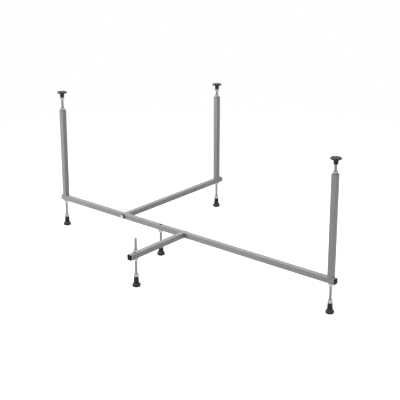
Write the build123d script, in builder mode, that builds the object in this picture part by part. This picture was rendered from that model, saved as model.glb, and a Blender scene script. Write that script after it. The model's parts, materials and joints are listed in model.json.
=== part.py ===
from build123d import *
import os
from math import cos, pi, radians, tan

# Bathtub support frame: a long main beam, a cross beam to a back post and a short
# outrigger, all of square steel tube. Three posts carry the tub's rim on screwed pads,
# and five screwed feet level the frame.
# Millimetres. Z is up and the floor is Z = 0. X runs along the main beam, with the left
# end at -X, and Y points from the outrigger to the back post. The origin is on the floor
# in the middle of the frame's footprint.

# Square tube of the beams and posts
tube_side = 25.0
tube_wall = 1.5
tube_corner = 2.0

# Layout of the frame
beam_top = 163.0
post_spacing = 1625.0
post_height = 458.0
main_overhang = 22.0
cross_place = -390.0
back_post_reach = 721.5
cross_overhang = 35.0
outrigger_place = -3.0
outrigger_foot_reach = 328.0
outrigger_overhang = 40.0
middle_foot_place = -150.0
middle_foot_lift = 8.0

# Screws: the radius over the thread, what lets a thread turn in its nut or socket, and
# what lets a screw pass through a drilled wall or a washer
screw_radius = 6.0
thread_clearance = 0.05
pass_clearance = 0.5
screw_end_chamfer = 1.0

# Hexagon nuts, flat washers and the angle in plan at which the nuts stand
nut_flats = 19.0
nut_height = 10.8
nut_face_inset = 0.5
nut_bevel_angle = 30.0
nut_countersink = 0.9
nut_turn = 40.0
washer_radius = 12.0
washer_thickness = 2.5
washer_edge = 0.3

# Bolts that hold the cross beam and the outrigger to the main beam
bolt_head_height = 7.5
bolt_length = 45.0
joint_washer_radius = 12.5
joint_washer_thickness = 2.0

# Threaded plugs fixed in tube ends
insert_length = 20.0
head_plug_length = 15.0
insert_corner = 1.0

# Cap in a beam's open end
cap_flange = 3.0
cap_edge = 0.8
cap_plug_length = 12.0
cap_plug_gap = 0.3
cap_wall = 1.8
cap_rib_width = 1.2
cap_rib_count = 3

# Bell-shaped foot
bell_height = 48.0
bell_neck_radius = 10.8
bell_skirt_radius = 12.4
bell_skirt_height = 19.5
bell_rim_radius = 20.0
bell_rim_height = 8.5
bell_floor_radius = 18.6
bell_top_round = 0.6
bell_skirt_round = 9.0
bell_rim_round = 2.4
bell_floor_round = 0.8
bell_socket_depth = 20.0
bell_stud_depth = 17.0
bell_hollow_radius = 15.5
bell_hollow_depth = 8.0
bell_hub_radius = 6.5
bell_rib_width = 2.2
bell_rib_count = 6

# Screws of the feet
stud_length = 200.0
middle_stud_length = 110.0

# Pad under the tub's rim
pad_height = 27.5
pad_radius = 24.5
pad_thickness = 6.0
pad_edge_round = 2.2
pad_neck_radius = 9.0
pad_neck_top_radius = 11.2
pad_neck_round = 5.0
pad_foot_round = 0.4
pad_socket_depth = 15.0
pad_rib_reach = 0.8
pad_rib_width = 2.4
pad_rib_count = 8
pad_groove_radii = (9.0, 14.0, 19.0)
pad_groove_width = 1.2
pad_groove_depth = 0.6

# Screws of the pads, and how far each stands out of the nut on its post
stem_length = 100.0
left_stem_rise = 44.7
back_stem_rise = 20.9
right_stem_rise = 29.7

# Worked out from the sizes above
half_side = tube_side / 2
inside_side = tube_side - 2 * tube_wall
inside_corner = max(tube_corner - tube_wall, insert_corner / 2)
thread_radius = screw_radius + thread_clearance
pass_radius = screw_radius + pass_clearance
nut_corner_radius = nut_flats / 2 / cos(pi / 6)
nut_face_radius = nut_flats / 2 - nut_face_inset
nut_cone_radius = nut_corner_radius + nut_face_inset
nut_cone_height = (nut_cone_radius - nut_face_radius) * tan(radians(nut_bevel_angle))
main_half_length = post_spacing / 2 + main_overhang
cross_end = back_post_reach + cross_overhang
outrigger_end = outrigger_foot_reach + outrigger_overhang
main_y = (outrigger_end - cross_end) / 2
beam_middle = beam_top - half_side
beam_underside = beam_top - tube_side
post_top = beam_top + post_height

left_spot = (-post_spacing / 2, main_y)
right_spot = (post_spacing / 2, main_y)
back_spot = (cross_place, main_y + back_post_reach)
middle_spot = (middle_foot_place, main_y)
outrigger_spot = (outrigger_place, main_y - outrigger_foot_reach)

posts = {"left": left_spot, "back": back_spot, "right": right_spot}
feet = {**posts, "middle": middle_spot, "outrigger": outrigger_spot}
stem_rises = {"left": left_stem_rise, "back": back_stem_rise, "right": right_stem_rise}
jam_nut_posts = ("left", "back")

os.makedirs("parts", exist_ok=True)


def save(piece, name):
    piece.label = name
    export_step(piece, f"parts/{name}.step")


def level(spot, height):
    # Flat plane over one spot of the floor plan
    return Plane(origin=(spot[0], spot[1], height))


def section(seat):
    # Plane through a seat's axis, with its own Y along that axis
    return Plane(origin=seat.origin, x_dir=seat.x_dir, z_dir=-seat.y_dir)


def seat_axis(seat):
    return Axis(seat.origin, seat.z_dir)


def square_tube(mouth, length, drills):
    # Tube from its mouth inwards, with a hole through both walls at each drill plane
    with BuildPart() as tube:
        with BuildSketch(mouth):
            RectangleRounded(tube_side, tube_side, tube_corner)
            RectangleRounded(inside_side, inside_side, inside_corner, mode=Mode.SUBTRACT)
        extrude(amount=-length)
        for drill in drills:
            with BuildSketch(drill):
                Circle(pass_radius)
            extrude(amount=tube_side, both=True, mode=Mode.SUBTRACT)
    return tube.part


def tube_insert(mouth, length):
    # Threaded plug that fills a tube from its mouth inwards
    with BuildPart() as plug:
        with BuildSketch(mouth):
            RectangleRounded(inside_side, inside_side, insert_corner)
            Circle(thread_radius, mode=Mode.SUBTRACT)
        extrude(amount=-length)
    return plug.part


def end_cap(mouth):
    # Flange over the tube's end, and a hollow plug held in the tube by its ribs
    plug_side = inside_side - 2 * cap_plug_gap
    hollow_side = plug_side - 2 * cap_wall
    rib_step = cap_plug_length / cap_rib_count
    with BuildPart() as cap:
        with BuildSketch(mouth):
            RectangleRounded(tube_side, tube_side, tube_corner)
        extrude(amount=cap_flange)
        chamfer(cap.faces().sort_by(seat_axis(mouth))[-1].edges(), cap_edge)
        with BuildSketch(mouth):
            RectangleRounded(plug_side, plug_side, insert_corner)
        extrude(amount=-cap_plug_length)
        for rib in range(cap_rib_count):
            with BuildSketch(mouth.offset(-rib_step * (rib + 0.5))):
                RectangleRounded(inside_side, inside_side, insert_corner)
            extrude(amount=cap_rib_width / 2, both=True)
        with BuildSketch(mouth):
            Rectangle(hollow_side, hollow_side)
        extrude(amount=-cap_plug_length, mode=Mode.SUBTRACT)
    return cap.part


def hex_nut(seat):
    # Nut standing on its seat, bevelled outside and countersunk inside at both faces
    mouth_radius = thread_radius + nut_countersink
    with BuildPart() as nut:
        with BuildSketch(seat):
            RegularPolygon(nut_flats / 2, 6, major_radius=False, rotation=nut_turn)
        extrude(amount=nut_height)
        with BuildSketch(section(seat)):
            with BuildLine():
                Polyline(
                    (mouth_radius, 0),
                    (nut_face_radius, 0),
                    (nut_cone_radius, nut_cone_height),
                    (nut_cone_radius, nut_height - nut_cone_height),
                    (nut_face_radius, nut_height),
                    (mouth_radius, nut_height),
                    (thread_radius, nut_height - nut_countersink),
                    (thread_radius, nut_countersink),
                    close=True,
                )
            make_face()
        revolve(axis=seat_axis(seat), mode=Mode.INTERSECT)
    return nut.part


def hex_bolt(seat):
    # Bolt whose head stands on its seat and whose shank goes down through it
    with BuildPart() as bolt:
        with BuildSketch(seat):
            RegularPolygon(nut_flats / 2, 6, major_radius=False)
        extrude(amount=bolt_head_height)
        with BuildSketch(section(seat)):
            with BuildLine():
                Polyline(
                    (0, 0),
                    (nut_cone_radius, 0),
                    (nut_cone_radius, bolt_head_height - nut_cone_height),
                    (nut_face_radius, bolt_head_height),
                    (0, bolt_head_height),
                    close=True,
                )
            make_face()
        revolve(axis=seat_axis(seat), mode=Mode.INTERSECT)
        with BuildSketch(seat):
            Circle(screw_radius)
        extrude(amount=-bolt_length)
        chamfer(bolt.faces().sort_by(seat_axis(seat))[0].edges(), screw_end_chamfer)
    return bolt.part


def flat_washer(seat, radius, thickness):
    with BuildPart() as washer:
        with BuildSketch(seat):
            Circle(radius)
            Circle(pass_radius, mode=Mode.SUBTRACT)
        extrude(amount=thickness)
        rims = washer.edges().filter_by(GeomType.CIRCLE)
        chamfer(rims.group_by(SortBy.RADIUS)[-1], washer_edge)
    return washer.part


def screw(bottom, length):
    with BuildPart() as rod:
        with BuildSketch(bottom):
            Circle(screw_radius)
        extrude(amount=length)
        chamfer(rod.edges().filter_by(GeomType.CIRCLE), screw_end_chamfer)
    return rod.part


def bell_foot(ground):
    # Slim neck and flared skirt, hollow under the skirt between its ribs
    with BuildPart() as bell:
        with BuildSketch(section(ground)):
            with BuildLine():
                outline = FilletPolyline(
                    (0, 0),
                    (bell_floor_radius, 0),
                    (bell_rim_radius, bell_rim_height),
                    (bell_skirt_radius, bell_skirt_height),
                    (bell_neck_radius, bell_height),
                    (0, bell_height),
                    radius=(bell_floor_round, bell_rim_round, bell_skirt_round, bell_top_round),
                )
                Line(outline @ 1, outline @ 0)
            make_face()
        revolve(axis=seat_axis(ground))
        with BuildSketch(ground):
            Circle(bell_hollow_radius)
            Circle(bell_hub_radius, mode=Mode.SUBTRACT)
            with PolarLocations(0, bell_rib_count):
                Rectangle(
                    bell_rim_radius,
                    bell_rib_width,
                    align=(Align.MIN, Align.CENTER),
                    mode=Mode.SUBTRACT,
                )
        extrude(amount=bell_hollow_depth, mode=Mode.SUBTRACT)
        with BuildSketch(ground.offset(bell_height)):
            Circle(thread_radius)
        extrude(amount=-bell_socket_depth, mode=Mode.SUBTRACT)
    return bell.part


def pad_form(seat, reach):
    # Disc on a neck that widens upwards, with the neck grown outwards by the reach
    disc_underside = pad_height - pad_thickness
    with BuildPart() as form:
        with BuildSketch(section(seat)):
            with BuildLine():
                outline = FilletPolyline(
                    (0, 0),
                    (pad_neck_radius + reach, 0),
                    (pad_neck_top_radius + reach, disc_underside),
                    (pad_radius, disc_underside),
                    (pad_radius, pad_height),
                    (0, pad_height),
                    radius=(pad_foot_round, pad_neck_round, pad_edge_round, pad_edge_round),
                )
                Line(outline @ 1, outline @ 0)
            make_face()
        revolve(axis=seat_axis(seat))
    return form.part


def rim_pad(seat):
    # Ribs run up the neck, rings are cut in the top, and the screw's socket is below
    ribbed_form = pad_form(seat, pad_rib_reach)
    plain_form = pad_form(seat, 0)
    with BuildPart() as ribs:
        with BuildSketch(seat):
            with PolarLocations(0, pad_rib_count):
                Rectangle(pad_radius, pad_rib_width, align=(Align.MIN, Align.CENTER))
        extrude(amount=pad_height - pad_thickness)
        add(ribbed_form, mode=Mode.INTERSECT)
    with BuildPart() as pad:
        add(plain_form)
        add(ribs.part)
        for radius in pad_groove_radii:
            with BuildSketch(seat.offset(pad_height)):
                Circle(radius + pad_groove_width / 2)
                Circle(radius - pad_groove_width / 2, mode=Mode.SUBTRACT)
            extrude(amount=-pad_groove_depth, mode=Mode.SUBTRACT)
        with BuildSketch(seat):
            Circle(thread_radius)
        extrude(amount=pad_socket_depth, mode=Mode.SUBTRACT)
    return pad.part


def group(pieces):
    # Alike pieces kept together as separate solids
    with BuildPart() as together:
        add(pieces)
    return together.part


def beam_mouth(x, y, outwards):
    # Open end of a beam, at the beams' middle height and facing outwards
    return Plane(origin=(x, y, beam_middle), x_dir=(-outwards[1], outwards[0], 0), z_dir=outwards)


# Beams, with holes for the studs of their feet and for the joint bolts
left_mouth = beam_mouth(-main_half_length, main_y, (-1, 0, 0))
right_mouth = beam_mouth(main_half_length, main_y, (1, 0, 0))
cross_mouth = beam_mouth(cross_place, main_y + cross_end, (0, 1, 0))
outrigger_mouth = beam_mouth(outrigger_place, main_y - outrigger_end, (0, -1, 0))

main_stud_holes = [level(spot, beam_middle) for spot in (left_spot, middle_spot, right_spot)]
main_bolt_holes = [beam_mouth(x, main_y, (0, 1, 0)) for x in (cross_place, outrigger_place)]
main_beam = square_tube(left_mouth, 2 * main_half_length, main_stud_holes + main_bolt_holes)
save(main_beam, "main_beam")

cross_beam = square_tube(cross_mouth, cross_end - half_side, [level(back_spot, beam_middle)])
save(cross_beam, "cross_beam")

outrigger_drill = level(outrigger_spot, beam_middle)
outrigger_beam = square_tube(outrigger_mouth, outrigger_end - half_side, [outrigger_drill])
save(outrigger_beam, "outrigger_beam")

cap_mouths = {
    "left": left_mouth,
    "right": right_mouth,
    "cross": cross_mouth,
    "outrigger": outrigger_mouth,
}
for place, mouth in cap_mouths.items():
    save(end_cap(mouth), f"{place}_end_cap")

# Each bolt crosses the main beam into the plug in the end of the beam beyond it
joints = {"cross": (cross_place, 1), "outrigger": (outrigger_place, -1)}
for place, (x, side) in joints.items():
    bolt_seat = beam_mouth(x, main_y - side * half_side, (0, -side, 0))
    near_mouth = beam_mouth(x, main_y + side * half_side, (0, -side, 0))
    save(tube_insert(near_mouth, insert_length), f"{place}_beam_insert")
    joint_washer = flat_washer(bolt_seat, joint_washer_radius, joint_washer_thickness)
    save(joint_washer, f"{place}_joint_washer")
    save(hex_bolt(bolt_seat.offset(joint_washer_thickness)), f"{place}_joint_bolt")

# Posts, each with a threaded plug in its foot and another in its head
for place, spot in posts.items():
    head = level(spot, post_top)
    foot = Plane(origin=(spot[0], spot[1], beam_top), z_dir=(0, 0, -1))
    save(square_tube(head, post_height, []), f"{place}_post")
    save(tube_insert(foot, insert_length), f"{place}_post_foot_plug")
    save(tube_insert(head, head_plug_length), f"{place}_post_head_plug")

# Feet: the stud stands in the bell, and its nut and washer rest on the bell's top
for place, spot in feet.items():
    lift = middle_foot_lift if place == "middle" else 0.0
    length = middle_stud_length if place == "middle" else stud_length
    ground = level(spot, lift)
    save(bell_foot(ground), f"{place}_foot_bell")
    bell_top = ground.offset(bell_height)
    save(flat_washer(bell_top, washer_radius, washer_thickness), f"{place}_foot_washer")
    save(hex_nut(bell_top.offset(washer_thickness)), f"{place}_foot_nut")
    save(screw(bell_top.offset(-bell_stud_depth), length), f"{place}_foot_stud")

# Washers and nuts that lock the studs to the beams
lock_washer_bottom = beam_underside - washer_thickness
lock_nut_bottom = lock_washer_bottom - nut_height
lock_washers = [
    flat_washer(level(spot, lock_washer_bottom), washer_radius, washer_thickness)
    for spot in feet.values()
]
lock_nuts = [hex_nut(level(spot, lock_nut_bottom)) for spot in feet.values()]
save(group(lock_washers), "beam_lock_washers")
save(group(lock_nuts), "beam_lock_nuts")

outrigger_top = level(outrigger_spot, beam_top)
outrigger_top_washer = flat_washer(outrigger_top, washer_radius, washer_thickness)
save(outrigger_top_washer, "outrigger_top_washer")
save(hex_nut(outrigger_top.offset(washer_thickness)), "outrigger_top_nut")

# Pads, each on a screw through the nut and the plug in its post's head
head_nuts = [hex_nut(level(spot, post_top)) for spot in posts.values()]
save(group(head_nuts), "post_head_nuts")
for place, spot in posts.items():
    seat = level(spot, post_top + nut_height + stem_rises[place])
    if place in jam_nut_posts:
        save(hex_nut(seat), f"{place}_pad_jam_nut")
        seat = seat.offset(nut_height)
    save(rim_pad(seat), f"{place}_pad")
    save(screw(seat.offset(pad_socket_depth - stem_length), stem_length), f"{place}_pad_stem")
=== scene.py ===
import json
import math

import bmesh
import bpy
from mathutils import Matrix, Vector


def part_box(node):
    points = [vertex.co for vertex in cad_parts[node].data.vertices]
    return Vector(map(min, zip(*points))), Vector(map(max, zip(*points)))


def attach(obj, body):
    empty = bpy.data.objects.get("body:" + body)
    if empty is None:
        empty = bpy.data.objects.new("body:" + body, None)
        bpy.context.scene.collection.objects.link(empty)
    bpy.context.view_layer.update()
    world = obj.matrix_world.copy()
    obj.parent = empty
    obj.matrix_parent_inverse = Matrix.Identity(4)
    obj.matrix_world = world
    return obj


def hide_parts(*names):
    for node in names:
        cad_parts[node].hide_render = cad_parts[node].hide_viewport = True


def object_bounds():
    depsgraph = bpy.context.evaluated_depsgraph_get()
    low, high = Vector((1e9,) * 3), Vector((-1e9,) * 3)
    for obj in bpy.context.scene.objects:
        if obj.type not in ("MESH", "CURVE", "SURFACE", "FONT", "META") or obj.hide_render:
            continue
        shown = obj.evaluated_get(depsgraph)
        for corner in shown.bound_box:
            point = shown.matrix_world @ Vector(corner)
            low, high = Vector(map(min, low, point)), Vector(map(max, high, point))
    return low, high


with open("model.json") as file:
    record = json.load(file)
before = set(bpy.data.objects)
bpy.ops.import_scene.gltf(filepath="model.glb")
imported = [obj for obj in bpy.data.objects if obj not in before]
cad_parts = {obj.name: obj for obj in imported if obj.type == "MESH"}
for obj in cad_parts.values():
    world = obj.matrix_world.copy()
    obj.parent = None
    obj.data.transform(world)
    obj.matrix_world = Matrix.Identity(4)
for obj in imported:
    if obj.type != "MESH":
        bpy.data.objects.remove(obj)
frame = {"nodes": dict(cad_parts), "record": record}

# Bathtub support frame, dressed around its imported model. Metres, Z up.
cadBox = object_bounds()
scene = bpy.context.scene
mm = 0.001

bodyOfNode = {
    node: body
    for body, members in frame["record"]["behaviour"]["bodies"].items()
    for node in members
}
slotOfNode = {entry["node"]: entry["material_slot"] for entry in frame["record"]["subparts"]}
print("frame loaded:", len(frame["nodes"]), "nodes")


# Camera at the photograph's viewpoint
cameraLook = {
    "place": (2.8238, -3.4553, 1.8570),
    "pitchDown": 16.80,
    "turn": 39.915,
    "focalPixels": 982.5,
    "framePixels": 400.0,
    "sensor": 36.0,
    "shiftUp": -0.12,
}


def makeCamera(look):
    data = bpy.data.cameras.new("camera")
    data.sensor_width = look["sensor"]
    data.lens = look["sensor"] * look["focalPixels"] / look["framePixels"]
    data.shift_y = look["shiftUp"]
    data.clip_end = 200.0
    camera = bpy.data.objects.new("camera", data)
    camera.location = look["place"]
    camera.rotation_euler = (
        math.radians(90.0 - look["pitchDown"]),
        0.0,
        math.radians(look["turn"]),
    )
    scene.collection.objects.link(camera)
    scene.camera = camera


makeCamera(cameraLook)
print("camera placed")


# Materials

def hexToLinear(text):
    # sRGB hex to the linear colour that the shaders want
    channels = [int(text[i:i + 2], 16) / 255.0 for i in (1, 3, 5)]
    linear = [c / 12.92 if c <= 0.04045 else ((c + 0.055) / 1.055) ** 2.4 for c in channels]
    return (*linear, 1.0)


def addNode(tree, kind, settings=None, inputs=None):
    # One node; an input is a value, or an output socket to link to it
    node = tree.nodes.new(kind)
    for key, value in (settings or {}).items():
        setattr(node, key, value)
    for key, value in (inputs or {}).items():
        if isinstance(value, bpy.types.NodeSocket):
            tree.links.new(value, node.inputs[key])
        else:
            node.inputs[key].default_value = value
    return node


def startMaterial(name):
    material = bpy.data.materials.new(name)
    material.use_nodes = True
    tree = material.node_tree
    tree.nodes.clear()
    return material, tree


def colourRamp(tree, factor, stops):
    ramp = addNode(tree, "ShaderNodeValToRGB", inputs={"Fac": factor})
    elements = ramp.color_ramp.elements
    while len(elements) < len(stops):
        elements.new(0.5)
    for element, (position, text) in zip(elements, stops):
        element.position = position
        element.color = hexToLinear(text)
    return ramp.outputs["Color"]


def perMillimetre(size):
    # Noise scale for a feature of this many millimetres, on coordinates in metres
    return 1000.0 / size


# Powder-coated steel: sprayed silver-grey polyester baked to a satin skin. The eye sees an
# even grey with a soft sheen, a fine orange peel and slightly uneven film along a bar.
powderCoat = {
    "pale": "#A9A9AB",
    "deep": "#A0A0A3",
    "cloudSize": 260.0,
    "grainPale": "#AEAEB0",
    "grainSize": 0.9,
    "grainShare": 0.25,
    "metallic": 0.1,
    "roughLow": 0.42,
    "roughHigh": 0.52,
    "peelSize": 1.6,
    "peelDepth": 0.02,
    "grainDeep": "#8C8C8F",
}


def makePowderCoat(look):
    material, tree = startMaterial("powder_coated_steel")
    place = addNode(tree, "ShaderNodeTexCoord").outputs["Object"]
    clouds = addNode(tree, "ShaderNodeTexNoise", inputs={
        "Vector": place, "Scale": perMillimetre(look["cloudSize"]), "Detail": 3.0})
    cloudColour = colourRamp(tree, clouds.outputs["Fac"], [(0.35, look["deep"]), (0.65, look["pale"])])
    grain = addNode(tree, "ShaderNodeTexNoise", inputs={
        "Vector": place, "Scale": perMillimetre(look["grainSize"]), "Detail": 2.0})
    grainColour = colourRamp(tree, grain.outputs["Fac"], [(0.4, look["grainDeep"]), (0.6, look["grainPale"])])
    colour = addNode(tree, "ShaderNodeMix", {"data_type": "RGBA"}, {
        "Factor": look["grainShare"], "A": cloudColour, "B": grainColour})
    rough = addNode(tree, "ShaderNodeMapRange", inputs={
        "Value": clouds.outputs["Fac"], "To Min": look["roughLow"], "To Max": look["roughHigh"]})
    peel = addNode(tree, "ShaderNodeTexNoise", inputs={
        "Vector": place, "Scale": perMillimetre(look["peelSize"]), "Detail": 1.0})
    bump = addNode(tree, "ShaderNodeBump", inputs={
        "Height": peel.outputs["Fac"], "Strength": 0.25, "Distance": look["peelDepth"] * mm})
    surface = addNode(tree, "ShaderNodeBsdfPrincipled", inputs={
        "Base Color": colour.outputs["Result"],
        "Roughness": rough.outputs["Result"],
        "Metallic": look["metallic"],
        "Normal": bump.outputs["Normal"],
    })
    addNode(tree, "ShaderNodeOutputMaterial", inputs={"Surface": surface.outputs["BSDF"]})
    return material


# Zinc plate: bright barrel-plated steel. The eye sees a pale bluish metal with a faint
# mottle from tumbling and soft, broken highlights. Corners, creases and thread roots near
# other surfaces are darkened as painted shade.
zincPlate = {
    "pale": "#BCBDBF",
    "deep": "#ADAEB0",
    "edge": "#A0A0A2",
    # Colour, share and reach of the painted shade in corners and creases
    "paintedShade": "#3C3B3A",
    "paintedShadeShare": 0.85,
    "paintedShadeReach": 5.0,
    "mottleSize": 2.2,
    "roughLow": 0.32,
    "roughHigh": 0.46,
    "ticks": 0.5,
    "tickDepth": 0.03,
}


def makeZincPlate(name, look):
    material, tree = startMaterial(name)
    place = addNode(tree, "ShaderNodeTexCoord").outputs["Object"]
    mottle = addNode(tree, "ShaderNodeTexNoise", inputs={
        "Vector": place, "Scale": perMillimetre(look["mottleSize"]), "Detail": 4.0})
    plated = colourRamp(tree, mottle.outputs["Fac"], [(0.35, look["deep"]), (0.65, look["pale"])])
    # Painted shade: where ambient occlusion finds other surfaces within the reach, the colour is mixed towards a
    # near-black grey
    corners = addNode(tree, "ShaderNodeAmbientOcclusion", {"samples": 4}, {"Distance": look["paintedShadeReach"] * mm})
    paintedShade = addNode(tree, "ShaderNodeMapRange", inputs={
        "Value": corners.outputs["AO"], "From Min": 0.35, "From Max": 0.8, "To Min": look["paintedShadeShare"], "To Max": 0.0})
    colour = addNode(tree, "ShaderNodeMix", {"data_type": "RGBA"}, {
        "Factor": paintedShade.outputs["Result"], "A": plated, "B": hexToLinear(look["paintedShade"])}).outputs["Result"]
    rough = addNode(tree, "ShaderNodeMapRange", inputs={
        "Value": mottle.outputs["Fac"], "To Min": look["roughLow"], "To Max": look["roughHigh"]})
    ticks = addNode(tree, "ShaderNodeTexNoise", inputs={
        "Vector": place, "Scale": perMillimetre(look["ticks"]), "Detail": 2.0})
    bump = addNode(tree, "ShaderNodeBump", inputs={
        "Height": ticks.outputs["Fac"], "Strength": 0.3, "Distance": look["tickDepth"] * mm})
    surface = addNode(tree, "ShaderNodeBsdfPrincipled", inputs={
        "Base Color": colour,
        "Roughness": rough.outputs["Result"],
        "Metallic": 1.0,
        "Specular Tint": hexToLinear(look["edge"]),
        "Normal": bump.outputs["Normal"],
    })
    addNode(tree, "ShaderNodeOutputMaterial", inputs={"Surface": surface.outputs["BSDF"]})
    return material


# Rolled thread: the same plating on a rolled screw, in a darker grey than on the nuts,
# with painted shade in the roots of the thread.
rolledThread = {
    "pale": "#ACADAF",
    "deep": "#9C9DA0",
    "edge": "#A0A0A2",
    "paintedShade": "#3C3B3A",
    "paintedShadeShare": 0.6,
    "paintedShadeReach": 1.2,
    "mottleSize": 6.0,
    "roughLow": 0.5,
    "roughHigh": 0.62,
    "ticks": 0.6,
    "tickDepth": 0.02,
}


# Moulded black plastic: polypropylene or polyethylene against a spark-eroded mould. The
# eye sees near-black with a satin bloom and a very fine grain. What faces up is painted a
# paler grey in patches, a painted sheen of the light from above.
bellPlastic = {
    "pale": "#111112",
    "deep": "#0B0B0C",
    "cloudSize": 18.0,
    "roughLow": 0.3,
    "roughHigh": 0.42,
    "shine": 0.28,
    # Pale grey, share and patch size of the painted sheen on what faces up
    "paintedTopSheen": "#77777A",
    "paintedTopSheenShare": 0.85,
    "paintedTopSheenPatchSize": 4.0,
    "grainSize": 0.35,
    "grainDepth": 0.015,
}
padPlastic = dict(bellPlastic, pale="#1A1A1C", deep="#141415", roughLow=0.45, roughHigh=0.58, shine=0.36, paintedTopSheenShare=0.22)
capPlastic = dict(bellPlastic, roughLow=0.45, roughHigh=0.58, shine=0.13, paintedTopSheenShare=0.15)
rubber = dict(bellPlastic, roughLow=0.65, roughHigh=0.8, shine=0.1, paintedTopSheenShare=0.0)


def makePlastic(name, look):
    material, tree = startMaterial(name)
    place = addNode(tree, "ShaderNodeTexCoord").outputs["Object"]
    clouds = addNode(tree, "ShaderNodeTexNoise", inputs={
        "Vector": place, "Scale": perMillimetre(look["cloudSize"]), "Detail": 3.0})
    plastic = colourRamp(tree, clouds.outputs["Fac"], [(0.35, look["deep"]), (0.65, look["pale"])])
    # Painted sheen: faces that look up are mixed in patches towards a pale grey, standing in for the light from above
    # on them
    facing = addNode(tree, "ShaderNodeSeparateXYZ", inputs={
        "Vector": addNode(tree, "ShaderNodeTexCoord").outputs["Normal"]}).outputs["Z"]
    paintedSheenPatches = addNode(tree, "ShaderNodeTexNoise", inputs={
        "Vector": place, "Scale": perMillimetre(look["paintedTopSheenPatchSize"]), "Detail": 3.0})
    paintedSheenMask = addNode(tree, "ShaderNodeMapRange", {"interpolation_type": "SMOOTHSTEP"}, {
        "Value": facing, "From Min": 0.15, "From Max": 0.75, "To Max": look["paintedTopSheenShare"]})
    share = addNode(tree, "ShaderNodeMath", {"operation": "MULTIPLY"}, {
        0: paintedSheenMask.outputs["Result"], 1: paintedSheenPatches.outputs["Fac"]})
    colour = addNode(tree, "ShaderNodeMix", {"data_type": "RGBA"}, {
        "Factor": share.outputs["Value"], "A": plastic, "B": hexToLinear(look["paintedTopSheen"])}).outputs["Result"]
    rough = addNode(tree, "ShaderNodeMapRange", inputs={
        "Value": clouds.outputs["Fac"], "To Min": look["roughLow"], "To Max": look["roughHigh"]})
    grain = addNode(tree, "ShaderNodeTexNoise", inputs={
        "Vector": place, "Scale": perMillimetre(look["grainSize"]), "Detail": 2.0})
    bump = addNode(tree, "ShaderNodeBump", inputs={
        "Height": grain.outputs["Fac"], "Strength": 0.3, "Distance": look["grainDepth"] * mm})
    surface = addNode(tree, "ShaderNodeBsdfPrincipled", inputs={
        "Base Color": colour,
        "Roughness": rough.outputs["Result"],
        "Specular IOR Level": look["shine"],
        "Normal": bump.outputs["Normal"],
    })
    addNode(tree, "ShaderNodeOutputMaterial", inputs={"Surface": surface.outputs["BSDF"]})
    return material


# Bare steel: the inside of the tubes, where no powder reaches. The eye sees the dark
# blue-grey scale of the mill with a few brown spots, dull all over. The same dark steel on
# the walls of the drilled holes is painted shade.
bareSteel = {
    "pale": "#3B3D40",
    "deep": "#26272A",
    "rust": "#4A3426",
    "scaleSize": 14.0,
    "spotSize": 5.0,
    "roughLow": 0.55,
    "roughHigh": 0.75,
    "pitSize": 1.2,
    "pitDepth": 0.04,
}


def makeBareSteel(look):
    material, tree = startMaterial("bare_steel_and_painted_hole_shade")
    place = addNode(tree, "ShaderNodeTexCoord").outputs["Object"]
    scale = addNode(tree, "ShaderNodeTexNoise", inputs={
        "Vector": place, "Scale": perMillimetre(look["scaleSize"]), "Detail": 5.0})
    steel = colourRamp(tree, scale.outputs["Fac"], [(0.35, look["deep"]), (0.65, look["pale"])])
    spots = addNode(tree, "ShaderNodeTexNoise", inputs={
        "Vector": place, "Scale": perMillimetre(look["spotSize"]), "Detail": 3.0})
    share = addNode(tree, "ShaderNodeMapRange", inputs={
        "Value": spots.outputs["Fac"], "From Min": 0.58, "From Max": 0.7, "To Min": 0.0, "To Max": 0.8})
    colour = addNode(tree, "ShaderNodeMix", {"data_type": "RGBA"}, {
        "Factor": share.outputs["Result"], "A": steel, "B": hexToLinear(look["rust"])})
    rough = addNode(tree, "ShaderNodeMapRange", inputs={
        "Value": scale.outputs["Fac"], "To Min": look["roughLow"], "To Max": look["roughHigh"]})
    pits = addNode(tree, "ShaderNodeTexNoise", inputs={
        "Vector": place, "Scale": perMillimetre(look["pitSize"]), "Detail": 2.0})
    bump = addNode(tree, "ShaderNodeBump", inputs={
        "Height": pits.outputs["Fac"], "Strength": 0.4, "Distance": look["pitDepth"] * mm})
    surface = addNode(tree, "ShaderNodeBsdfPrincipled", inputs={
        "Base Color": colour.outputs["Result"],
        "Roughness": rough.outputs["Result"],
        "Metallic": 0.6,
        "Normal": bump.outputs["Normal"],
    })
    addNode(tree, "ShaderNodeOutputMaterial", inputs={"Surface": surface.outputs["BSDF"]})
    return material


finishes = {
    "frame_steel": makePowderCoat(powderCoat),
    "zinc_steel": makeZincPlate("zinc_plated_steel", zincPlate),
    "plug_steel": makeZincPlate("zinc_plated_turned_steel", zincPlate),
    "thread_steel": makeZincPlate("zinc_plated_rolled_thread", rolledThread),
    "foot_plastic": makePlastic("moulded_black_polypropylene", bellPlastic),
    "pad_plastic": makePlastic("moulded_black_polypropylene_matt", padPlastic),
    "cap_plastic": makePlastic("moulded_black_polyethylene", capPlastic),
    "seal_rubber": makePlastic("moulded_black_rubber", rubber),
}
tubeInsideAndPaintedHoleShade = makeBareSteel(bareSteel)
for node, obj in frame["nodes"].items():
    obj.data.materials.clear()
    obj.data.materials.append(finishes[slotOfNode[node]])
print("materials ready:", len(finishes))


# Pieces

def axisOf(node):
    # Centre line of an upright piece, with its bottom and top
    low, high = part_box(node)
    return Vector(((low.x + high.x) / 2, (low.y + high.y) / 2, 0.0)), low.z, high.z


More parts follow.
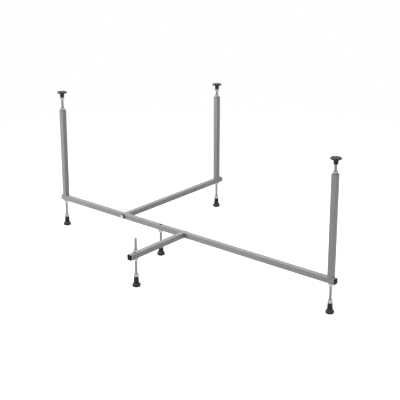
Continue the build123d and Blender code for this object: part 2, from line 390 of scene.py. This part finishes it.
def finishPiece(name, bm, node, smoothAngle=35.0, inside=None):
    # Makes the object, gives it its node's finish and body, and hides the plain node
    bmesh.ops.recalc_face_normals(bm, faces=bm.faces)
    mesh = bpy.data.meshes.new(name)
    bm.to_mesh(mesh)
    bm.free()
    mesh.shade_smooth()
    mesh.set_sharp_from_angle(angle=math.radians(smoothAngle))
    piece = bpy.data.objects.new(name, mesh)
    scene.collection.objects.link(piece)
    mesh.materials.append(finishes[slotOfNode[node]])
    if inside:
        mesh.materials.append(inside)
    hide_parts(node)
    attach(piece, bodyOfNode[node])
    return piece


def copyNode(node):
    # The node's own faces, joined up and with its flat sides made whole
    bm = bmesh.new()
    bm.from_mesh(frame["nodes"][node].data)
    bmesh.ops.remove_doubles(bm, verts=bm.verts, dist=0.002 * mm)
    bmesh.ops.dissolve_limit(bm, angle_limit=math.radians(0.3), verts=bm.verts, edges=bm.edges)
    return bm


def roundEdges(bm, width, segments, sharpAngle=28.0):
    sharp = [e for e in bm.edges if len(e.link_faces) == 2 and e.calc_face_angle() > math.radians(sharpAngle)]
    bmesh.ops.bevel(bm, geom=sharp, offset=width * mm, offset_type="OFFSET", affect="EDGES",
                    segments=segments, profile=0.5, clamp_overlap=True, material=-1)


def addPoints(bm, points):
    # A chain of points in the XZ half plane, joined one to the next
    verts = [bm.verts.new(Vector((radius, 0.0, height))) for radius, height in points]
    edges = [bm.edges.new(pair) for pair in zip(verts, verts[1:])]
    return verts + edges


def turnProfile(bm, points, steps):
    # Full spin of a chain of points round the Z axis
    chain = addPoints(bm, points)
    bmesh.ops.spin(bm, geom=chain, cent=(0, 0, 0), axis=(0, 0, 1), angle=math.tau,
                   steps=steps, use_merge=True, use_duplicate=False)
    bmesh.ops.remove_doubles(bm, verts=bm.verts, dist=0.001 * mm)


def roundedChain(corners, arcSteps=4):
    # Corners (radius, height, rounding) in millimetres to points in metres, each corner an arc
    points = []
    places = [Vector((radius, height)) * mm for radius, height, rounding in corners]
    for index, (radius, height, rounding) in enumerate(corners):
        here = places[index]
        if rounding == 0:
            points.append(tuple(here))
            continue
        back = (places[index - 1] - here).normalized()
        ahead = (places[index + 1] - here).normalized()
        half = back.angle(ahead) / 2
        centre = here + (back + ahead).normalized() * (rounding * mm / math.sin(half))
        reach = rounding * mm / math.tan(half)
        start = here + back * reach - centre
        end = here + ahead * reach - centre
        turn = start.angle_signed(end)
        for step in range(arcSteps + 1):
            arm = start.copy()
            arm.rotate(Matrix.Rotation(-turn * step / arcSteps, 2))
            points.append(tuple(centre + arm))
    return points


def columnOf(point, steps):
    # Which of the spin's steps a point of a turned shape lies in
    return int(math.atan2(point.y, point.x) % math.tau / math.tau * steps)


# Square tubes: cut ends and drilled holes have their burrs taken off. The inside is bare
# steel, and the powder stops at the mouth of each tube. The walls of the drilled holes get
# the same dark steel as painted shade, so the holes read dark.
tubeLook = {"edgeRound": 0.3, "edgeSegments": 3, "wall": 1.5}


def makeTube(node, look):
    low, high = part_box(node)
    size, middle = high - low, (high + low) / 2
    along = max(range(3), key=lambda axis: size[axis])
    across = [axis for axis in range(3) if axis != along]
    bm = copyNode(node)
    roundEdges(bm, look["edgeRound"], look["edgeSegments"])
    wallMiddle = min(size) / 2 - look["wall"] / 2 * mm
    for face in bm.faces:
        spot = face.calc_center_median()
        deep = [abs(spot[axis] - middle[axis]) < wallMiddle for axis in across]
        level = [abs(face.normal[axis]) < 0.3 for axis in across]
        fromEnd = size[along] / 2 - abs(spot[along] - middle[along])
        # Painted shade: the walls of drilled holes away from the ends take the dark inside steel, which darkens the
        # holes
        holeWallPaintedShade = fromEnd > 1.0 * mm and all(a or b for a, b in zip(deep, level))
        if all(deep) or holeWallPaintedShade:
            face.material_index = 1
    return finishPiece(f"{node}_tube", bm, node, 30.0, tubeInsideAndPaintedHoleShade)


for node in sorted(frame["nodes"]):
    if slotOfNode[node] == "frame_steel":
        makeTube(node, tubeLook)
print("tubes made")


# Nuts, washers, bolts, plugs and caps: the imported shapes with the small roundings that
# forging, punching and moulding leave. Millimetres of rounding by kind of piece.
edgeRounds = {"nut": 0.3, "washer": 0.18, "bolt": 0.35, "plug": 0.3, "insert": 0.3, "cap": 0.35}


def makeRounded(node, width):
    bm = copyNode(node)
    roundEdges(bm, width, 3, 20.0)
    return finishPiece(f"{node}_finished", bm, node, 30.0)


for node in sorted(frame["nodes"]):
    kind = node.split("_")[-1].removesuffix("s")
    if kind in edgeRounds:
        makeRounded(node, edgeRounds[kind])
print("fasteners and caps made")


# Threaded rods: M12 thread rolled along the whole length
rodThread = {
    "pitch": 1.75,
    "crestRadius": 5.98,
    "rootRadius": 5.07,
    "crestShare": 0.2,
    "rootShare": 0.2,
    "steps": 24,
    "endChamfer": 1.2,
}


def makeThread(turns, look):
    # One turn of thread by a spin that climbs, then doubled until it is long enough
    pitch = look["pitch"] * mm
    crest, root = look["crestRadius"] * mm, look["rootRadius"] * mm
    flat, valley = look["crestShare"] * pitch, look["rootShare"] * pitch
    flank = (pitch - flat - valley) / 2
    bm = bmesh.new()
    chain = addPoints(bm, [
        (root, 0.0), (root, valley), (crest, valley + flank),
        (crest, valley + flank + flat), (root, pitch)])
    bmesh.ops.spin(bm, geom=chain, cent=(0, 0, 0), axis=(0, 0, 1), dvec=(0, 0, pitch / look["steps"]),
                   angle=math.tau, steps=look["steps"], use_merge=False, use_duplicate=False)
    made = 1
    while made < turns:
        copied = bmesh.ops.duplicate(bm, geom=bm.verts[:] + bm.edges[:] + bm.faces[:])
        moved = [item for item in copied["geom"] if isinstance(item, bmesh.types.BMVert)]
        bmesh.ops.translate(bm, verts=moved, vec=(0, 0, pitch * made))
        made *= 2
    bmesh.ops.remove_doubles(bm, verts=bm.verts, dist=0.002 * mm)
    return bm


def makeThreadedRod(name, node, look):
    centre, bottom, top = axisOf(node)
    pitch = look["pitch"] * mm
    bm = makeThread(int((top - bottom) / pitch) + 3, look)
    bmesh.ops.translate(bm, verts=bm.verts, vec=(centre.x, centre.y, bottom - pitch * 1.5))
    for height, side in ((bottom, -1), (top, 1)):
        geometry = bm.verts[:] + bm.edges[:] + bm.faces[:]
        cut = bmesh.ops.bisect_plane(bm, geom=geometry, dist=0.0001 * mm, plane_co=(0, 0, height),
                                     plane_no=(0, 0, side), clear_outer=True)
        rim = [e for e in cut["geom_cut"] if isinstance(e, bmesh.types.BMEdge)]
        bmesh.ops.edgeloop_fill(bm, edges=rim)
    chamfer = look["endChamfer"] * mm
    for vert in bm.verts:
        gap = min(vert.co.z - bottom, top - vert.co.z)
        if gap < chamfer:
            offset = Vector((vert.co.x - centre.x, vert.co.y - centre.y, 0.0))
            limit = look["crestRadius"] * mm - (chamfer - gap)
            if offset.length > limit:
                vert.co -= offset * (1 - limit / offset.length)
    return finishPiece(name, bm, node, 60.0)


for node in sorted(frame["nodes"]):
    if slotOfNode[node] == "thread_steel":
        makeThreadedRod(node.replace("_stud", "_rod").replace("_stem", "_rod"), node, rodThread)
print("threaded rods made")


# Feet: bells moulded in one piece, with the two seams of the mould up their sides and
# hollow cells between the ribs underneath
bellLook = {
    "steps": 96,
    "hubRadius": 6.5,
    "hollowRadius": 15.5,
    "hollowDepth": 8.0,
    "ribCount": 6,
    "ribSteps": 3,
    "floorRadius": 18.6,
    "rimRadius": 20.0,
    "rimHeight": 8.5,
    "skirtRadius": 12.4,
    "skirtHeight": 19.5,
    "neckRadius": 10.8,
    "socketRadius": 6.05,
    "socketDepth": 20.0,
    "edgeRound": 0.25,
    "seamReach": 0.12,
}


def makeBell(node, look):
    centre, bottom, top = axisOf(node)
    height = (top - bottom) / mm
    bm = bmesh.new()
    turnProfile(bm, roundedChain([
        (0.0, 0.0, 0),
        (look["hubRadius"], 0.0, 0),
        (look["hollowRadius"], 0.0, 0),
        (look["floorRadius"], 0.0, 0.8),
        (look["rimRadius"], look["rimHeight"], 2.4),
        (look["skirtRadius"], look["skirtHeight"], 9.0),
        (look["neckRadius"], height, 0.6),
        (look["socketRadius"], height, 0.4),
        (look["socketRadius"], height - look["socketDepth"], 0),
        (0.0, height - look["socketDepth"], 0),
    ], 6), look["steps"])
    ribSpan = look["steps"] // look["ribCount"]
    cells = []
    for face in bm.faces:
        spot = face.calc_center_median()
        radius = spot.xy.length / mm
        inRing = look["hubRadius"] < radius < look["hollowRadius"]
        if spot.z < 0.01 * mm and inRing and columnOf(spot, look["steps"]) % ribSpan >= look["ribSteps"]:
            cells.append(face)
    raised = bmesh.ops.extrude_face_region(bm, geom=cells)
    verts = [item for item in raised["geom"] if isinstance(item, bmesh.types.BMVert)]
    bmesh.ops.translate(bm, verts=verts, vec=(0, 0, look["hollowDepth"] * mm))
    left = [face for face in cells if face.is_valid]
    bmesh.ops.delete(bm, geom=left, context="FACES")
    for vert in bm.verts:
        onSeam = abs(vert.co.y) < 0.001 * mm and look["rimHeight"] * mm < vert.co.z < top - bottom - 1.0 * mm
        if onSeam and vert.co.xy.length > look["neckRadius"] * mm * 0.95:
            vert.co.xy *= 1 + look["seamReach"] * mm / vert.co.xy.length
    roundEdges(bm, look["edgeRound"], 2, 50.0)
    bmesh.ops.translate(bm, verts=bm.verts, vec=(centre.x, centre.y, bottom))
    return finishPiece(f"{node}_moulded", bm, node, 40.0)


# Pads: a disc with rings cut in its top, on a neck with ribs
padLook = {
    "steps": 96,
    "radius": 24.5,
    "thickness": 6.0,
    "neckRadius": 9.0,
    "neckTopRadius": 11.2,
    "ribCount": 8,
    "ribSteps": 4,
    "ribReach": 0.8,
    "socketRadius": 6.05,
    "socketDepth": 15.0,
    "grooves": (19.0, 14.0, 9.0),
    "grooveWidth": 1.2,
    "grooveDepth": 0.6,
}


def makePad(node, look):
    centre, bottom, top = axisOf(node)
    height = (top - bottom) / mm
    underside = height - look["thickness"]
    corners = [
        (0.0, look["socketDepth"], 0),
        (look["socketRadius"], look["socketDepth"], 0),
        (look["socketRadius"], 0.0, 0.3),
        (look["neckRadius"], 0.0, 0.4),
        (look["neckTopRadius"], underside, 5.0),
        (look["radius"], underside, 2.2),
        (look["radius"], height, 2.2),
    ]
    for groove in look["grooves"]:
        outer, inner = groove + look["grooveWidth"] / 2, groove - look["grooveWidth"] / 2
        depth = height - look["grooveDepth"]
        corners += [(outer, height, 0.2), (outer, depth, 0.2), (inner, depth, 0.2), (inner, height, 0.2)]
    corners.append((0.0, height, 0))
    bm = bmesh.new()
    turnProfile(bm, roundedChain(corners, 5), look["steps"])
    ribSpan = look["steps"] // look["ribCount"]
    sides = []
    for face in bm.faces:
        spot = face.calc_center_median()
        outside = spot.xy.length / mm > look["neckRadius"] * 0.98
        if outside and 0.3 * mm < spot.z < (underside - 0.2) * mm and spot.xy.length / mm < look["radius"] - 2.0:
            if columnOf(spot, look["steps"]) % ribSpan < look["ribSteps"]:
                sides.append(face)
    raised = bmesh.ops.extrude_face_region(bm, geom=sides)
    for vert in raised["geom"]:
        if isinstance(vert, bmesh.types.BMVert):
            fade = min(1.0, (underside - vert.co.z / mm) / 1.5)
            vert.co.xy *= 1 + look["ribReach"] * mm * fade / vert.co.xy.length
    left = [face for face in sides if face.is_valid]
    bmesh.ops.delete(bm, geom=left, context="FACES")
    bmesh.ops.remove_doubles(bm, verts=bm.verts, dist=0.001 * mm)
    bmesh.ops.translate(bm, verts=bm.verts, vec=(centre.x, centre.y, bottom))
    return finishPiece(f"{node}_moulded", bm, node, 40.0)


for node in sorted(frame["nodes"]):
    if node.endswith("_bell"):
        makeBell(node, bellLook)
    elif node.endswith("_pad"):
        makePad(node, padLook)
print("bells and pads made")


# Studio: white floor, soft light from above, from the front left and a little from the right
studio = {
    "floorSize": 40.0,
    "footReach": 55.0,
    "floorColour": "#F2F2F2",
    "floorGlow": 0.62,
    "floorBounce": "#6E6E6E",
    "fadeStart": 1.4,
    "fadeEnd": 3.2,
    "worldLow": "#6E6E70",
    "worldHigh": "#C4C4C6",
    "worldStrength": 0.38,
}
lamps = {
    "key": {"place": (-3.0, -3.4, 2.2), "aim": (-0.2, 0.0, 0.4), "size": 1.6, "power": 147.0, "shines": False},
    "top": {"place": (-0.3, 0.2, 4.0), "aim": (0.0, 0.0, 0.1), "size": 3.5, "power": 88.0, "shines": True},
    "side": {"place": (3.6, -0.6, 1.6), "aim": (0.2, 0.0, 0.4), "size": 1.8, "power": 27.0, "shines": False},
}


def isSeenDirectly(tree):
    # 1 for camera, glossy and transmission rays, 0 for rays that light the object
    path = addNode(tree, "ShaderNodeLightPath")
    first = addNode(tree, "ShaderNodeMath", {"operation": "MAXIMUM"}, {
        0: path.outputs["Is Camera Ray"], 1: path.outputs["Is Glossy Ray"]})
    both = addNode(tree, "ShaderNodeMath", {"operation": "MAXIMUM"}, {
        0: first.outputs["Value"], 1: path.outputs["Is Transmission Ray"]})
    return both.outputs["Value"]


def makeFloor(look):
    # Seen directly it is white paint that takes shadows near the object and goes over into
    # plain white further out; to the object it is a grey that bounces little light. It lies
    # below the feet's longest reach, so a foot that is screwed out stays in sight.
    bm = bmesh.new()
    bmesh.ops.create_grid(bm, x_segments=1, y_segments=1, size=look["floorSize"])
    bmesh.ops.translate(bm, verts=bm.verts, vec=(0, 0, cadBox[0].z - look["footReach"] * mm))
    mesh = bpy.data.meshes.new("floor")
    bm.to_mesh(mesh)
    bm.free()
    floor = bpy.data.objects.new("floor", mesh)
    scene.collection.objects.link(floor)
    material, tree = startMaterial("painted_floor")
    place = addNode(tree, "ShaderNodeTexCoord").outputs["Object"]
    away = addNode(tree, "ShaderNodeVectorMath", {"operation": "LENGTH"}, {0: place})
    fade = addNode(tree, "ShaderNodeMapRange", {"interpolation_type": "SMOOTHSTEP"}, {
        "Value": away.outputs["Value"], "From Min": look["fadeStart"], "From Max": look["fadeEnd"]})
    paint = addNode(tree, "ShaderNodeBsdfDiffuse", inputs={"Color": hexToLinear(look["floorColour"])})
    glow = addNode(tree, "ShaderNodeEmission", inputs={"Strength": look["floorGlow"]})
    near = addNode(tree, "ShaderNodeAddShader", inputs={0: paint.outputs["BSDF"], 1: glow.outputs["Emission"]})
    white = addNode(tree, "ShaderNodeEmission", inputs={"Strength": 1.0})
    shown = addNode(tree, "ShaderNodeMixShader", inputs={
        0: fade.outputs["Result"], 1: near.outputs["Shader"], 2: white.outputs["Emission"]})
    bounce = addNode(tree, "ShaderNodeBsdfDiffuse", inputs={"Color": hexToLinear(look["floorBounce"])})
    mixed = addNode(tree, "ShaderNodeMixShader", inputs={
        0: isSeenDirectly(tree), 1: bounce.outputs["BSDF"], 2: shown.outputs["Shader"]})
    addNode(tree, "ShaderNodeOutputMaterial", inputs={"Surface": mixed.outputs["Shader"]})
    mesh.materials.append(material)


def makeWorld(look):
    world = bpy.data.worlds.new("studio")
    world.use_nodes = True
    tree = world.node_tree
    tree.nodes.clear()
    direction = addNode(tree, "ShaderNodeTexCoord").outputs["Generated"]
    height = addNode(tree, "ShaderNodeSeparateXYZ", inputs={"Vector": direction}).outputs["Z"]
    sky = colourRamp(tree, height, [(0.0, look["worldLow"]), (1.0, look["worldHigh"])])
    light = addNode(tree, "ShaderNodeBackground", inputs={"Color": sky, "Strength": look["worldStrength"]})
    white = addNode(tree, "ShaderNodeBackground", inputs={"Color": (1, 1, 1, 1), "Strength": 1.0})
    mixed = addNode(tree, "ShaderNodeMixShader", inputs={
        0: isSeenDirectly(tree), 1: light.outputs["Background"], 2: white.outputs["Background"]})
    addNode(tree, "ShaderNodeOutputWorld", inputs={"Surface": mixed.outputs["Shader"]})
    scene.world = world


def makeLamp(name, look):
    # A lamp that does not shine still lights colours, but leaves no glint on metal
    data = bpy.data.lights.new(name, "AREA")
    data.shape = "DISK"
    data.size = look["size"]
    data.energy = look["power"]
    lamp = bpy.data.objects.new(name, data)
    lamp.location = look["place"]
    lamp.visible_glossy = look["shines"]
    aim = Vector(look["aim"]) - Vector(look["place"])
    lamp.rotation_euler = aim.to_track_quat("-Z", "Y").to_euler()
    scene.collection.objects.link(lamp)


makeFloor(studio)
makeWorld(studio)
for name, look in lamps.items():
    makeLamp(name, look)
scene.view_settings.view_transform = "Standard"
print("studio lit")
